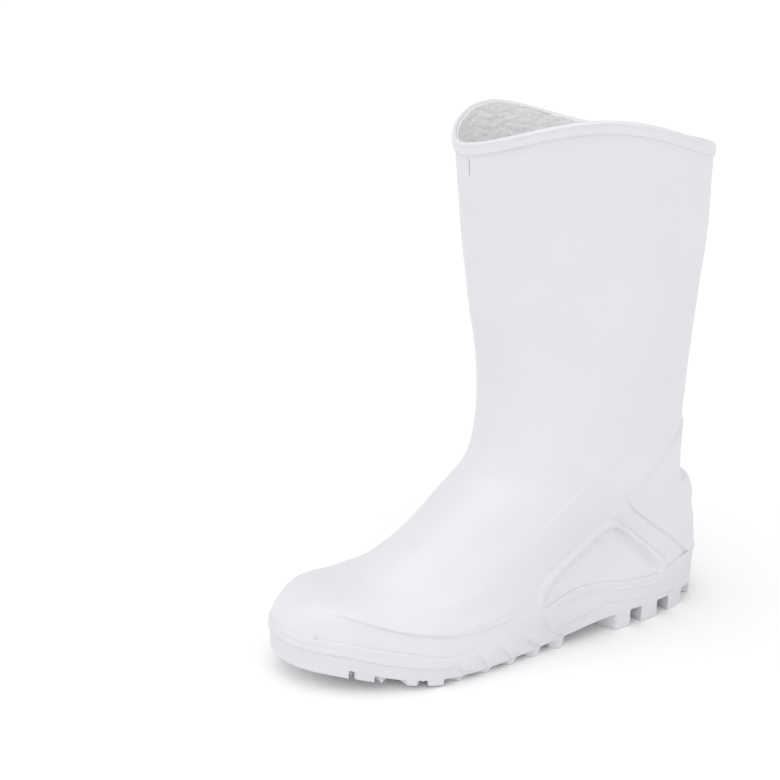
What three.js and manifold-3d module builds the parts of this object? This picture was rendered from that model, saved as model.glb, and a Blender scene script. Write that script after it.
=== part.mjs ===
// A left PVC wellington boot, in millimetres: +Z up, the toe along -Y, the outer side along +X.
// It stands on its sole, with its origin under the middle of its box.
import * as THREE from "three";
import { mergeVertices } from "three/addons/utils/BufferGeometryUtils.js";
import Module from "manifold-3d";

const wasm = await Module();
wasm.setup();

// Driving sizes
const soleLength = 283;
const ballWidth = 101;
const instepHeight = 79; // from the heel seat up to the lowest girth line of the shaft
const shaftHeight = 180; // from there to the front and back of the collar
const collarDepth = 161; // front to back
const collarWidth = 132;
const collarWave = 20; // how far the sides stand above the front and the back
const collarLift = 6.3; // how far the front is raised besides, on its outer half
const liftTurn = THREE.MathUtils.degToRad(165); // where it is raised most, from the heel by the outer side
const shaftAxisAt = 89; // from the heel's back to the middle of the collar
const wall = 2.4;
const fitGap = 0.3; // between neighbouring pieces

// Sole
const heelSeat = 32; // top edge of the sole at the heel
const toeSpring = 13.5;
const soleFlange = 1.6; // how far the sole's side stands outside the upper
const grooveWidth = 3; // between the toe's pads
const padWidth = 18;
const lugLength = 11.5;
const lugWidth = 16;
const ribRise = 0.8;

// Relief on the upper's wall
const bandHeight = 7;
const bandRise = 1.3;
const counterRise = 1.0;
const chevronRise = 1.4;
const randRise = 0.9;
const spurWidth = 36;
const spurHeight = 19;
const spurReach = 5.5;
const spurRoot = 10; // how deep its middle lies behind the wall's face
const spurUp = 40; // above the heel seat

const insoleThickness = 4;
const insoleDraft = 2; // how far its top edge is drawn in, as the wall closes over it

// Girth lines of the foot, from the sole's top edge up to the instep. "frontAt" and "backAt" are shares
// of the sole's length from the heel, "frontUp" and "backUp" shares of the instep's height, "half" a share
// of the ball's width. "blunt" squares the ends off, "plan" brings in the footprint's own waist and toe,
// and "follow" the curve of the sole's top edge.
const footLines = [
  { frontAt: 1.002, frontUp: 0.0, backAt: 0.005, backUp: 0.0, half: 0.477, blunt: 2.7, plan: 1.0, follow: 1.0 },
  { frontAt: 0.999, frontUp: 0.04, backAt: 0.005, backUp: 0.1, half: 0.472, blunt: 2.7, plan: 1.0, follow: 1.0 },
  { frontAt: 0.991, frontUp: 0.1, backAt: 0.008, backUp: 0.2, half: 0.462, blunt: 2.7, plan: 0.95, follow: 0.95 },
  { frontAt: 0.968, frontUp: 0.18, backAt: 0.014, backUp: 0.29, half: 0.447, blunt: 2.8, plan: 0.85, follow: 0.85 },
  { frontAt: 0.915, frontUp: 0.255, backAt: 0.019, backUp: 0.37, half: 0.428, blunt: 2.7, plan: 0.7, follow: 0.65 },
  { frontAt: 0.817, frontUp: 0.345, backAt: 0.022, backUp: 0.45, half: 0.413, blunt: 2.6, plan: 0.5, follow: 0.45 },
  { frontAt: 0.715, frontUp: 0.52, backAt: 0.028, backUp: 0.54, half: 0.412, blunt: 2.5, plan: 0.3, follow: 0.2 },
  { frontAt: 0.63, frontUp: 0.766, backAt: 0.042, backUp: 0.64, half: 0.428, blunt: 2.35, plan: 0.1, follow: 0.05 },
];

// Girth lines of the shaft. "frontUp" and "backUp" are shares of the shaft's height above the instep,
// "front" and "back" shares of the collar's depth from the shaft's axis, "half" a share of its width,
// and "wave" the share of the collar's wave that the line follows.
const shaftLines = [
  { frontUp: 0.0, backUp: -0.13, front: 0.443, back: 0.43, half: 0.344, blunt: 2.15, wave: 0 },
  { frontUp: 0.16, backUp: 0.03, front: 0.402, back: 0.424, half: 0.352, blunt: 2.1, wave: 0 },
  { frontUp: 0.34, backUp: 0.23, front: 0.408, back: 0.431, half: 0.373, blunt: 2.05, wave: 0 },
  { frontUp: 0.53, backUp: 0.45, front: 0.444, back: 0.446, half: 0.404, blunt: 2.0, wave: 0.12 },
  { frontUp: 0.75, backUp: 0.72, front: 0.477, back: 0.468, half: 0.444, blunt: 1.95, wave: 0.5 },
  { frontUp: 1.0, backUp: 1.0, front: 0.5, back: 0.452, half: 0.5, blunt: 1.92, wave: 1 },
];
const waveSkew = 1.7; // above 1 it brings the wave's crest forward

// Half widths of the footprint, as shares of its widest, from the heel (0) to the toe (1).
const footprint = [
  { at: 0.0, outer: 0.78, inner: 0.74 },
  { at: 0.2, outer: 0.8, inner: 0.7 },
  { at: 0.35, outer: 0.78, inner: 0.68 },
  { at: 0.5, outer: 0.87, inner: 0.75 },
  { at: 0.64, outer: 1.0, inner: 0.92 },
  { at: 0.76, outer: 1.07, inner: 1.02 },
  { at: 0.88, outer: 0.98, inner: 1.0 },
  { at: 1.0, outer: 0.88, inner: 0.8 },
];
const toeSwing = 0.11; // of the ball's width, towards the inner side

// Heights along the sole. "top", its upper edge, and "base", the floor between its lugs, are shares of
// the heel seat, and "ground", where its lugs end, is a share of the toe spring.
const soleLines = [
  { at: 0.0, top: 1.0, base: 0.32, ground: 0.1 },
  { at: 0.05, top: 0.98, base: 0.32, ground: 0.0 },
  { at: 0.27, top: 1.05, base: 0.35, ground: 0.0 },
  { at: 0.4, top: 1.07, base: 0.24, ground: 0.0 },
  { at: 0.55, top: 0.79, base: 0.14, ground: 0.0 },
  { at: 0.7, top: 0.51, base: 0.13, ground: 0.0 },
  { at: 0.82, top: 0.7, base: 0.26, ground: 0.34 },
  { at: 0.92, top: 0.97, base: 0.48, ground: 0.72 },
  { at: 1.0, top: 1.02, base: 0.6, ground: 1.0 },
];

// Steps of the sole's side, from its bottom edge up. "out" is a share of the flange, "up" a share of
// the height between the base and the top edge.
const soleSteps = [
  { out: 0.3, up: 0.0 },
  { out: 0.6, up: 0.06 },
  { out: 0.65, up: 0.52 },
  { out: 1.0, up: 0.56 },
  { out: 0.95, up: 0.74 },
  { out: 0.65, up: 0.78 },
  { out: 0.8, up: 0.82 },
  { out: 0.2, up: 1.0 },
];

// Outlines of the relief as seen from the side. "at" is a share of the sole's length from the heel,
// "up" a share of the instep's height above the heel seat.
const counterOutline = [
  { at: -0.1, up: 1.5 },
  { at: 0.1, up: 1.42 },
  { at: 0.155, up: 1.21 },
  { at: 0.2, up: 1.0 },
  { at: 0.252, up: 0.82 },
  { at: 0.266, up: 0.72 },
  { at: 0.258, up: 0.63 },
  { at: 0.218, up: 0.49 },
  { at: 0.173, up: 0.357 },
  { at: 0.126, up: 0.213 },
  { at: 0.071, up: 0.076 },
  { at: -0.1, up: -0.05 },
];
const chevronOutline = [
  { at: 0.512, up: -0.07 },
  { at: 0.492, up: 0.08 },
  { at: 0.445, up: 0.19 },
  { at: 0.363, up: 0.43 },
  { at: 0.325, up: 0.54 },
  { at: 0.308, up: 0.562 },
  { at: 0.292, up: 0.53 },
  { at: 0.264, up: 0.437 },
  { at: 0.165, up: 0.152 },
  { at: 0.139, up: 0.05 },
  { at: 0.165, up: 0.0 },
  { at: 0.185, up: 0.04 },
  { at: 0.265, up: 0.29 },
  { at: 0.302, up: 0.385 },
  { at: 0.34, up: 0.31 },
  { at: 0.45, up: 0.0 },
  { at: 0.475, up: -0.12 },
];

// The rand's lip, as seen from the side: its lower edge, and how tall it is there.
const randLine = [
  { at: 0.925, up: 0.145, tall: 0.0 },
  { at: 0.873, up: 0.12, tall: 0.02 },
  { at: 0.836, up: 0.07, tall: 0.03 },
  { at: 0.79, up: 0.015, tall: 0.04 },
  { at: 0.735, up: -0.02, tall: 0.045 },
  { at: 0.686, up: -0.03, tall: 0.05 },
  { at: 0.634, up: -0.03, tall: 0.06 },
  { at: 0.59, up: -0.02, tall: 0.06 },
  { at: 0.54, up: 0.0, tall: 0.065 },
  { at: 0.5, up: 0.02, tall: 0.03 },
];

// Ribs on the sole's side: where each starts and ends along the sole, and the shares of the side's
// height between which it lies.
const sideRibs = [
  { from: 0.65, to: 0.69, low: 0.16, high: 0.8 },
  { from: 0.59, to: 0.628, low: 0.1, high: 0.74 },
  { from: 0.53, to: 0.568, low: 0.12, high: 0.7 },
  { from: 0.48, to: 0.51, low: 0.16, high: 0.66 },
  { from: 0.31, to: 0.462, low: 0.34, high: 0.6 },
  { from: 0.25, to: 0.292, low: 0.6, high: 0.72 },
  { from: 0.195, to: 0.238, low: 0.6, high: 0.72 },
  { from: 0.14, to: 0.183, low: 0.6, high: 0.72 },
];
const ribSlant = 0.016; // of the sole's length, how far a rib leans towards the toe

// Heel lugs on each side: where their edges lie along the sole, at the rim and at their inner ends, and
// how far they reach inwards, as a share of the sole's half width.
const heelLugs = [
  { rimFrom: -0.05, rimTo: 0.026, innerFrom: -0.05, innerTo: 0.05, reach: 0.3 },
  { rimFrom: 0.072, rimTo: 0.123, innerFrom: 0.085, innerTo: 0.132, reach: 0.62 },
  { rimFrom: 0.16, rimTo: 0.209, innerFrom: 0.175, innerTo: 0.222, reach: 0.62 },
  { rimFrom: 0.241, rimTo: 0.282, innerFrom: 0.258, innerTo: 0.325, reach: 0.62 },
];
const heelMiddleLugs = [0.115, 0.2, 0.285];

// Grooves between the toe's pads: where the first and the last one cross the inner and the outer rim.
const toeGrooves = { count: 5, innerFirst: 0.925, innerLast: 0.77, outerFirst: 0.884, outerLast: 0.712 };
const padSlant = 0.6; // sideways for each millimetre towards the heel

// Blocks along the forefoot's inner rim, and the rows of six-sided lugs beside them.
const rimBlocks = { count: 6, firstAt: 0.762, pitch: 0.0625, length: 0.051, depth: 13.5 };
const lugRows = { count: 4, firstAt: 0.729, shift: 0.0145, pitch: 0.0625, perRow: 5, firstIn: 29, rowPitch: 22.5 };

const ringPoints = 54;
const footStep = 0.5; // from one ring to the next, in levels
const shaftStep = 1;
const bandDraft = 0.9; // over which the collar band's lower edge steps out
const weld = 0.01; // slivers thinner than this are closed up

const lerp = THREE.MathUtils.lerp;

// Every column of a table, read along smooth cubic pieces at a value of its key column.
function readTable(rows, key, value) {
  let i = 0;
  while (i < rows.length - 2 && value > rows[i + 1][key]) i++;
  const before = rows[Math.max(i - 1, 0)];
  const from = rows[i];
  const to = rows[i + 1];
  const after = rows[Math.min(i + 2, rows.length - 1)];
  const span = to[key] - from[key];
  const t = THREE.MathUtils.clamp((value - from[key]) / span, 0, 1);
  const read = {};
  for (const name of Object.keys(from)) {
    const leave = ((to[name] - before[name]) / (to[key] - before[key])) * span;
    const arrive = ((after[name] - from[name]) / (after[key] - from[key])) * span;
    const rise = to[name] - from[name];
    const bend = 3 * rise - 2 * leave - arrive;
    read[name] = from[name] + t * (leave + t * (bend + t * (leave + arrive - 2 * rise)));
  }
  return read;
}

const yAt = (at) => (0.5 - at) * soleLength;
const atY = (y) => 0.5 - y / soleLength;
const soleTop = (at) => readTable(soleLines, "at", at).top * heelSeat;
const soleBase = (at) => readTable(soleLines, "at", at).base * heelSeat;
const soleGround = (at) => Math.max(readTable(soleLines, "at", at).ground, 0) * toeSpring;

// All girth lines in millimetres, numbered from the sole's edge (level 0) to the collar.
const shaftAxis = soleLength / 2 - shaftAxisAt;
const girthLines = [
  ...footLines.map((line) => ({
    frontY: yAt(line.frontAt),
    backY: yAt(line.backAt),
    frontRise: line.frontUp * instepHeight,
    backRise: line.backUp * instepHeight,
    half: line.half * ballWidth,
    blunt: line.blunt,
    plan: line.plan,
    follow: line.follow,
    wave: 0,
  })),
  ...shaftLines.map((line) => ({
    frontY: shaftAxis - line.front * collarDepth,
    backY: shaftAxis + line.back * collarDepth,
    frontRise: instepHeight + line.frontUp * shaftHeight,
    backRise: instepHeight + line.backUp * shaftHeight,
    half: line.half * collarWidth,
    blunt: line.blunt,
    plan: 0,
    follow: 0,
    wave: line.wave * collarWave,
  })),
].map((line, level) => ({ level, ...line }));
const collarLevel = girthLines.length - 1;

// The shape of the collar's wave, as a share of its height.
const waveShape = (along, turn) =>
  Math.sin(Math.PI * along ** waveSkew) + (collarLift / collarWave) * Math.max(Math.cos(turn - liftTurn), 0) ** 4;

// A point of the upper's outer face. The turn is 0 at the heel, then runs by the outer side to the toe.
function facePoint(level, turn) {
  const line = readTable(girthLines, "level", level);
  const power = 2 / line.blunt;
  const along = (1 - Math.sign(Math.cos(turn)) * Math.abs(Math.cos(turn)) ** power) / 2;
  const side = Math.sin(turn);
  const shape = readTable(footprint, "at", along);
  const share = lerp(1, side > 0 ? shape.outer : shape.inner, line.plan);
  const swing = -toeSwing * ballWidth * line.plan * along ** 3;
  const y = lerp(line.backY, line.frontY, along);
  const seat = lerp(heelSeat, soleTop(atY(y)), line.follow);
  return new THREE.Vector3(
    swing + Math.sign(side) * Math.abs(side) ** power * share * line.half,
    y,
    seat + lerp(line.backRise, line.frontRise, along) + line.wave * waveShape(along, turn),
  );
}

// The outward direction of that face. At its two edges it is kept level.
function faceNormal(level, turn) {
  const d = 0.01;
  const low = Math.max(level - d, 0);
  const high = Math.min(level + d, collarLevel);
  const upward = facePoint(high, turn).sub(facePoint(low, turn));
  const onward = facePoint(level, turn + d).sub(facePoint(level, turn - d));
  const normal = upward.cross(onward);
  if (level < d || level > collarLevel - d) normal.z = 0;
  return normal.normalize();
}

const turns = Array.from({ length: ringPoints }, (_, i) => (i / ringPoints) * 2 * Math.PI);
const faceRing = (level, out, lift = 0) =>
  turns.map((turn) => {
    const point = facePoint(level, turn).addScaledVector(faceNormal(level, turn), out);
    point.z += lift;
    return point;
  });

// A ring at the same depth below the collar's edge all round.
function collarRing(drop, out) {
  const step = 0.1;
  return turns.map((turn) => {
    const climb = (facePoint(collarLevel, turn).z - facePoint(collarLevel - step, turn).z) / step;
    const level = collarLevel - drop / climb;
    return facePoint(level, turn).addScaledVector(faceNormal(level, turn), out);
  });
}

const toSolid = (geometry) => {
  geometry.deleteAttribute("normal");
  geometry.deleteAttribute("uv");
  const merged = mergeVertices(geometry, 1e-4);
  return new wasm.Manifold(
    new wasm.Mesh({
      numProp: 3,
      vertProperties: merged.attributes.position.array,
      triVerts: new Uint32Array(merged.index.array),
    }),
  );
};

const toGeometry = (solid) => {
  const mesh = solid.getMesh();
  const geometry = new THREE.BufferGeometry();
  geometry.setAttribute("position", new THREE.BufferAttribute(mesh.vertProperties, 3));
  geometry.setIndex(new THREE.BufferAttribute(mesh.triVerts, 1));
  const flat = geometry.toNonIndexed();
  flat.computeVertexNormals();
  return flat;
};

const join = (solids) => solids.reduce((sum, solid) => sum.add(solid));

// A closed solid from a stack of rings, closed at both ends by strips across the boot's middle.
function loft(rings) {
  const count = ringPoints;
  const index = [];
  for (let row = 0; row + 1 < rings.length; row++) {
    for (let i = 0; i < count; i++) {
      const [a, b] = [row * count + i, row * count + ((i + 1) % count)];
      index.push(a, a + count, b + count, a, b + count, b);
    }
  }
  const last = (rings.length - 1) * count;
  for (let i = 0; i < count / 2; i++) {
    const [a, b] = [i, i + 1];
    const [c, d] = [(count - i) % count, count - i - 1];
    if (i > 0) index.push(a, b, c, last + a, last + c, last + b);
    if (i < count / 2 - 1) index.push(b, d, c, last + b, last + c, last + d);
  }
  const geometry = new THREE.BufferGeometry();
  const positions = rings.flat().flatMap((p) => [p.x, p.y, p.z]);
  geometry.setAttribute("position", new THREE.Float32BufferAttribute(positions, 3));
  geometry.setIndex(index);
  return toSolid(geometry);
}

const levels = [];
for (let level = 0; level < collarLevel; level += level < footLines.length ? footStep : shaftStep) levels.push(level);

// The boot's form as a filled solid, with its face moved outwards by "out" up to the collar.
const bootForm = (out) =>
  loft([...levels, collarLevel].map((level) => faceRing(level, out, level === 0 ? fitGap : 0)));

// The raised band around the collar, as a filled solid.
function collarForm() {
  return loft([
    collarRing(bandHeight + bandDraft, -wall / 2),
    collarRing(bandHeight, bandRise),
    collarRing(bandHeight / 4, bandRise),
    collarRing(0, bandRise / 2),
  ]);
}

// A prism from one side of the boot to the other over an outline seen from the side, in millimetres.
function sidePrism(points) {
  const shape = new THREE.Shape(points.map(([y, z]) => new THREE.Vector2(y, z)));
  const geometry = new THREE.ExtrudeGeometry(shape, { depth: 2 * collarWidth, bevelEnabled: false });
  geometry.translate(0, 0, -collarWidth);
  geometry.applyMatrix4(new THREE.Matrix4().set(0, 0, 1, 0, 1, 0, 0, 0, 0, 1, 0, 0, 0, 0, 0, 1));
  return toSolid(geometry);
}
const reliefPrism = (outline) => sidePrism(outline.map(({ at, up }) => [yAt(at), heelSeat + up * instepHeight]));

// The kick-off spur, a low dome on the heel's back.
function buildSpur() {
  const depth = spurRoot + spurReach;
  const share = Math.sqrt(1 - (spurRoot / depth) ** 2); // of its full width, left where it meets the wall
  const back = girthLines[footLines.length - 1].backY;
  const geometry = new THREE.SphereGeometry(1, 24, 14);
  geometry.scale(spurWidth / 2 / share, depth, spurHeight / 2 / share);
  geometry.translate(0, back - spurRoot, heelSeat + spurUp);
  return toSolid(geometry);
}

function buildUpper() {
  const pastCollar = 40;
  const pastSole = 5;
  const cavity = loft([
    faceRing(0, -wall, -pastSole),
    ...levels.map((level) => faceRing(level, -wall)),
    faceRing(collarLevel, -wall, pastCollar),
  ]);
  const rand = [
    ...randLine.map(({ at, up }) => ({ at, up })),
    ...randLine.slice(1).reverse().map(({ at, up, tall }) => ({ at, up: up + tall })),
  ];
  const body = join([
    bootForm(0),
    bootForm(counterRise).intersect(reliefPrism(counterOutline)),
    bootForm(chevronRise).intersect(reliefPrism(chevronOutline)),
    bootForm(randRise).intersect(reliefPrism(rand)),
    collarForm(),
    buildSpur(),
  ]);
  return body.subtract(cavity);
}

// A ring along the upper's lower edge, moved outwards, at a height given for each place along the sole.
const soleRing = (out, height) =>
  turns.map((turn) => {
    const point = facePoint(0, turn).addScaledVector(faceNormal(0, turn), out);
    point.z = height(atY(point.y));
    return point;
  });
const sideHeight = (at, share) => lerp(soleBase(at), soleTop(at), share);

// The x of the footprint's edge at a place along the sole, on the outer (+1) or the inner (-1) side.
function rimX(at, side) {
  const line = girthLines[0];
  const along = THREE.MathUtils.clamp((line.backY - yAt(at)) / (line.backY - line.frontY), 0, 1);
  const bulge = (1 - Math.abs(1 - 2 * along) ** line.blunt) ** (1 / line.blunt);
  const share = readTable(footprint, "at", along)[side > 0 ? "outer" : "inner"];
  return side * bulge * share * line.half - toeSwing * ballWidth * along ** 3;
}

// An upright prism over an outline seen from above, in millimetres.
function uprightPrism(points) {
  const shape = new THREE.Shape(points.map(([x, y]) => new THREE.Vector2(x, y)));
  const low = -2 * toeSpring;
  const geometry = new THREE.ExtrudeGeometry(shape, { depth: 2 * heelSeat - low, bevelEnabled: false });
  geometry.translate(0, 0, low);
  return toSolid(geometry);
}

// The toe's pads: everything ahead of the last cross groove, cut by the cross and the long grooves.
function toePads() {
  const far = ballWidth;
  const { count, innerFirst, innerLast, outerFirst, outerLast } = toeGrooves;
  const crossing = (share, x) => {
    const inner = yAt(lerp(innerFirst, innerLast, share));
    const outer = yAt(lerp(outerFirst, outerLast, share));
    return lerp(inner, outer, x / ballWidth + 0.5);
  };
  const field = uprightPrism([
    [-far, -soleLength],
    [far, -soleLength],
    [far, crossing(1, far) - grooveWidth],
    [-far, crossing(1, -far) - grooveWidth],
  ]);
  const cuts = [];
  for (let i = 0; i < count - 1; i++) {
    const [inner, outer] = [crossing(i / (count - 1), -far), crossing(i / (count - 1), far)];
    cuts.push(
      uprightPrism([
        [-far, inner - grooveWidth],
        [far, outer - grooveWidth],
        [far, outer],
        [-far, inner],
      ]),
    );
  }
  for (let x = -3.6 * padWidth; x < far; x += padWidth) {
    const [front, back] = [crossing(0, x) - grooveWidth / 2, crossing(1, x) + grooveWidth];
    const drift = -padSlant * (back - front);
    const half = grooveWidth / 2.4;
    cuts.push(
      uprightPrism([
        [x - half, front],
        [x + half, front],
        [x + drift + half, back],
        [x + drift - half, back],
      ]),
    );
  }
  return field.subtract(join(cuts));
}

function sixSided(x, at) {
  const [y, w, l] = [yAt(at), lugWidth / 2, lugLength / 2];
  return uprightPrism([
    [x - w, y],
    [x - w / 2, y - l],
    [x + w / 2, y - l],
    [x + w, y],
    [x + w / 2, y + l],
    [x - w / 2, y + l],
  ]);
}

function forefootLugs() {
  const lugs = [];
  for (let i = 0; i < rimBlocks.count; i++) {
    const from = rimBlocks.firstAt - i * rimBlocks.pitch;
    const to = from - rimBlocks.length;
    lugs.push(
      uprightPrism([
        [rimX(from, -1) - rimBlocks.depth, yAt(from)],
        [rimX(from, -1) + rimBlocks.depth, yAt(from)],
        [rimX(to, -1) + rimBlocks.depth, yAt(to)],
        [rimX(to, -1) - rimBlocks.depth, yAt(to)],
      ]),
    );
  }
  for (let row = 0; row < lugRows.count; row++) {
    for (let i = 0; i < lugRows.perRow; i++) {
      const at = lugRows.firstAt - row * lugRows.shift - i * lugRows.pitch;
      const share = (lugRows.firstIn + row * lugRows.rowPitch) / ballWidth;
      lugs.push(sixSided(lerp(rimX(at, -1), rimX(at, 1), share), at));
    }
  }
  return join(lugs);
}

function heelBlocks() {
  const lugs = heelMiddleLugs.map((at) => sixSided(0, at));
  for (const side of [-1, 1]) {
    for (const lug of heelLugs) {
      const end = rimX(lug.rimTo, side) * (1 - lug.reach);
      const outline = [
        [side * ballWidth, yAt(lug.rimTo)],
        [side * ballWidth, yAt(lug.rimFrom)],
        [end, yAt(lug.innerFrom)],
        [end, yAt(lug.innerTo)],
        [rimX(lug.rimTo, side), yAt(lug.rimTo)],
      ];
      lugs.push(uprightPrism(side > 0 ? outline : outline.reverse()));
    }
  }
  return join(lugs);
}

// The tread: the lugs between the ground line and the sole's body, inside the sole's own outline.
function buildTread() {
  const steps = 28;
  const root = 2; // how far the lugs reach into the body
  const ats = Array.from({ length: steps + 1 }, (_, i) => lerp(-0.02, 1.02, i / steps));
  const slab = sidePrism([
    ...ats.map((at) => [yAt(at), soleGround(at)]),
    ...ats.reverse().map((at) => [yAt(at), soleBase(at) + root]),
  ]);
  const edge = soleSteps[1];
  const outline = loft([
    soleRing(edge.out * soleFlange, () => -toeSpring),
    soleRing(edge.out * soleFlange, () => heelSeat),
  ]);
  return join([toePads(), forefootLugs(), heelBlocks()]).intersect(slab).intersect(outline);
}

function buildOutsole() {
  const body = loft(
    soleSteps.map((step) => soleRing(step.out * soleFlange, (at) => sideHeight(at, step.up))),
  );
  const ribs = sideRibs.map(({ from, to, low, high }) =>
    sidePrism([
      [yAt(from), sideHeight(from, low)],
      [yAt(to), sideHeight(to, low)],
      [yAt(to + ribSlant), sideHeight(to + ribSlant, high)],
      [yAt(from + ribSlant), sideHeight(from + ribSlant, high)],
    ]),
  );
  const ribForm = loft(
    [0.1, 0.5, 0.74].map((up) => soleRing(soleFlange + ribRise, (at) => sideHeight(at, up))),
  );
  return body.add(buildTread()).add(ribForm.intersect(join(ribs)));
}

function buildInsole() {
  const inset = wall + fitGap;
  return loft([
    soleRing(-inset, (at) => soleTop(at) + fitGap),
    soleRing(-inset - insoleDraft, (at) => soleTop(at) + fitGap + insoleThickness),
  ]);
}

const boot = new THREE.Group();
function addPiece(name, solid, color, roughness) {
  const material = new THREE.MeshStandardMaterial({ color, roughness, metalness: 0 });
  const mesh = new THREE.Mesh(toGeometry(solid.simplify(weld)), material);
  mesh.name = name;
  boot.add(mesh);
}

addPiece("outsole", buildOutsole(), 0xe6e6ea, 0.5);
addPiece("insole", buildInsole(), 0xd4d4d4, 0.9);
addPiece("upper", buildUpper(), 0xeeeef2, 0.35);

// Centres the boot over its origin and stands its lugs on the ground.
const box = new THREE.Box3().setFromObject(boot);
const middle = box.getCenter(new THREE.Vector3());
boot.position.set(-middle.x, -middle.y, -box.min.z);

export default boot;
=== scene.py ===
import math

import bmesh
import bpy
import numpy as np
from mathutils import Matrix, Vector


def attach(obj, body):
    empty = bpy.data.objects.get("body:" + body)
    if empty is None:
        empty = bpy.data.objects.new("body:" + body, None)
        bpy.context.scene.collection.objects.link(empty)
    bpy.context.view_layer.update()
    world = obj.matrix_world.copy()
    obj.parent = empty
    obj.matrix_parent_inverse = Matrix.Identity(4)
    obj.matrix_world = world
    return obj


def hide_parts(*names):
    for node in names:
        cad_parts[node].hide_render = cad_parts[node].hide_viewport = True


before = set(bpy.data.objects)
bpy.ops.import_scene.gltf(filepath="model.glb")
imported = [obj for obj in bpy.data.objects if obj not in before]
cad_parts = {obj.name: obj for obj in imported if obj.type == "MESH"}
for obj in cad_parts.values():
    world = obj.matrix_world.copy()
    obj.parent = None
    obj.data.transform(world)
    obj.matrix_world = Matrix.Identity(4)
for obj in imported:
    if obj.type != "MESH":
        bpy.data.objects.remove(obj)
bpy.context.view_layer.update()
print("frame loaded:", ", ".join(sorted(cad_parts)))

# The boot's form, as in its source. Lengths are in mm, and the tables hold shares of them.
boot = {
    "soleLength": 283.0,
    "ballWidth": 101.0,
    "instepHeight": 79.0,
    "shaftHeight": 180.0,
    "collarDepth": 161.0,
    "collarWidth": 132.0,
    "collarWave": 20.0,
    "waveSkew": 1.7,
    "collarLift": 6.3,
    "liftTurn": math.radians(165),
    "shaftAxisAt": 89.0,
    "heelSeat": 32.0,
    "toeSpring": 13.5,
    "toeSwing": 0.11,
    "wall": 2.4,
    "liningThickness": 0.8,
    "shiftY": 0.99,  # the source centres the boot over its origin
}
# frontAt, frontUp, backAt, backUp, half, blunt, plan, follow
footLines = [
    (1.002, 0.0, 0.005, 0.0, 0.477, 2.7, 1.0, 1.0),
    (0.999, 0.04, 0.005, 0.1, 0.472, 2.7, 1.0, 1.0),
    (0.991, 0.1, 0.008, 0.2, 0.462, 2.7, 0.95, 0.95),
    (0.968, 0.18, 0.014, 0.29, 0.447, 2.8, 0.85, 0.85),
    (0.915, 0.255, 0.019, 0.37, 0.428, 2.7, 0.7, 0.65),
    (0.817, 0.345, 0.022, 0.45, 0.413, 2.6, 0.5, 0.45),
    (0.715, 0.52, 0.028, 0.54, 0.412, 2.5, 0.3, 0.2),
    (0.63, 0.766, 0.042, 0.64, 0.428, 2.35, 0.1, 0.05),
]
# frontUp, backUp, front, back, half, blunt, wave
shaftLines = [
    (0.0, -0.13, 0.443, 0.43, 0.344, 2.15, 0),
    (0.16, 0.03, 0.402, 0.424, 0.352, 2.1, 0),
    (0.34, 0.23, 0.408, 0.431, 0.373, 2.05, 0),
    (0.53, 0.45, 0.444, 0.446, 0.404, 2.0, 0.12),
    (0.75, 0.72, 0.477, 0.468, 0.444, 1.95, 0.5),
    (1.0, 1.0, 0.5, 0.452, 0.5, 1.92, 1),
]
# at, outer, inner
footprint = [
    (0.0, 0.78, 0.74),
    (0.2, 0.8, 0.7),
    (0.35, 0.78, 0.68),
    (0.5, 0.87, 0.75),
    (0.64, 1.0, 0.92),
    (0.76, 1.07, 1.02),
    (0.88, 0.98, 1.0),
    (1.0, 0.88, 0.8),
]
# at, top, base, ground
soleLines = [
    (0.0, 1.0, 0.32, 0.1),
    (0.05, 0.98, 0.32, 0.0),
    (0.27, 1.05, 0.35, 0.0),
    (0.4, 1.07, 0.24, 0.0),
    (0.55, 0.79, 0.14, 0.0),
    (0.7, 0.51, 0.13, 0.0),
    (0.82, 0.7, 0.26, 0.34),
    (0.92, 0.97, 0.48, 0.72),
    (1.0, 1.02, 0.6, 1.0),
]


# at, up: how far the seam between upper and sole lies above the sole's own line, in mm
seamLines = [
    (0.0, 2.5), (0.06, 2.5), (0.095, 1.4), (0.13, -0.9), (0.16, -3.0), (0.2, -3.0), (0.25, -2.0),
    (0.305, 0.2), (0.36, 1.4), (0.4, 1.2), (0.44, 0.2), (0.5, -1.2), (0.6, 0.0), (0.7, 0.8), (0.76, 2.0),
    (0.82, 2.3), (0.885, 0.6), (0.95, 0.0), (1.0, 1.2),
]


# Every column of a table along smooth cubic pieces, at values of its first column.
def readTable(rows, value):
    rows = np.asarray(rows, float)
    keys = rows[:, 0]
    value = np.asarray(value, float)
    i = np.clip(np.searchsorted(keys, value) - 1, 0, len(keys) - 2)
    before, after = np.maximum(i - 1, 0), np.minimum(i + 2, len(keys) - 1)
    span = keys[i + 1] - keys[i]
    t = np.clip((value - keys[i]) / span, 0, 1)[..., None]
    leave = (rows[i + 1] - rows[before]) * (span / (keys[i + 1] - keys[before]))[..., None]
    arrive = (rows[after] - rows[i]) * (span / (keys[after] - keys[i]))[..., None]
    rise = rows[i + 1] - rows[i]
    return rows[i] + t * (leave + t * (3 * rise - 2 * leave - arrive + t * (leave + arrive - 2 * rise)))


def smoothStep(low, high, value):
    t = np.clip((value - low) / (high - low), 0, 1)
    return t * t * (3 - 2 * t)


def yAt(at):
    return (0.5 - np.asarray(at, float)) * boot["soleLength"]


def atY(y):
    return 0.5 - np.asarray(y, float) / boot["soleLength"]


def soleTop(at):
    return readTable(soleLines, at)[..., 1] * boot["heelSeat"]


def seamHeight(at):
    return soleTop(at) + readTable(seamLines, at)[..., 1]


def soleBase(at):
    return readTable(soleLines, at)[..., 2] * boot["heelSeat"]


def soleGround(at):
    return np.maximum(readTable(soleLines, at)[..., 3], 0) * boot["toeSpring"]


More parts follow.
